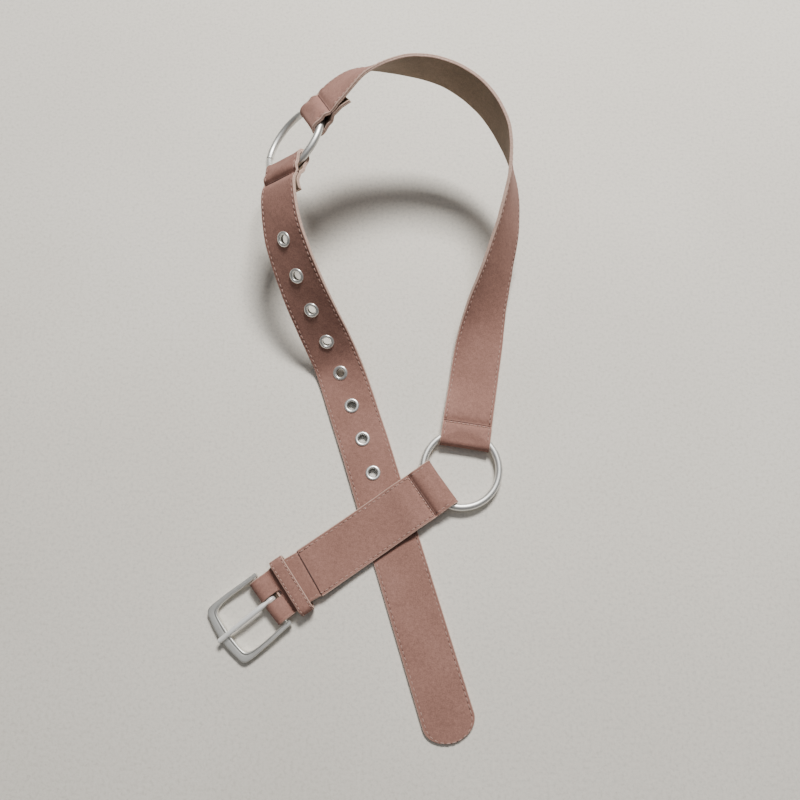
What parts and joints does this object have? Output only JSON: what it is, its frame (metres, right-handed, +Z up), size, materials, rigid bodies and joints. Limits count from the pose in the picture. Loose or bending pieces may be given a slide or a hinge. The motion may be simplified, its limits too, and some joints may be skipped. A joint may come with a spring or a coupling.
{
  "type": "ring belt",
  "caption": "Strap belt of three folded lengths joined by two metal rings, with a pronged buckle, a keeper loop and eyelets in the tip strap, lying loosely crossed.",
  "frame": {"origin": "middle of the footprint of the belt as it lies, on the surface", "axes": "+Z up from the surface, +Y along the longest extent towards the raised loop, +X towards the lower ring"},
  "size_m": [0.2134, 0.4486, 0.1036],
  "materials": {
    "suede": "matt dusty pink suede",
    "ring_metal": "satin",
    "buckle_metal": "satin",
    "eyelet_metal": "bright satin"
  },
  "bodies": {
    "straps": {"long_strap": "suede", "tip_strap": "suede", "buckle_strap": "suede", "keeper": "suede", "eyelet_1": "eyelet_metal", "eyelet_2": "eyelet_metal", "eyelet_3": "eyelet_metal", "eyelet_4": "eyelet_metal", "eyelet_5": "eyelet_metal", "eyelet_6": "eyelet_metal", "eyelet_7": "eyelet_metal", "eyelet_8": "eyelet_metal"},
    "upper_ring": {"ring_a": "ring_metal"},
    "lower_ring": {"ring_b": "ring_metal"},
    "frame": {"buckle_frame": "buckle_metal"},
    "prong": {"buckle_prong": "buckle_metal"}
  },
  "joints": [
    {"name": "upper_ring_spin", "type": "hinge", "parent": "straps", "child": "upper_ring", "pos_m": [-0.05347, 0.1722, 0.06402], "axis": [-0.6483, 0.2157, 0.7302], "continuous": true},
    {"name": "lower_ring_spin", "type": "hinge", "parent": "straps", "child": "lower_ring", "pos_m": [0.06253, -0.048, 0.00522], "axis": [0, 0, 1], "continuous": true},
    {"name": "buckle_hinge", "type": "hinge", "parent": "straps", "child": "frame", "pos_m": [-0.06619, -0.13613, 0.00502], "axis": [-0.6252, 0.7804, 0], "range_deg": [0, 60]},
    {"name": "prong_hinge", "type": "hinge", "parent": "frame", "child": "prong", "pos_m": [-0.06619, -0.13613, 0.00502], "axis": [-0.6252, 0.7804, 0], "range_deg": [0, 65]}
  ]
}
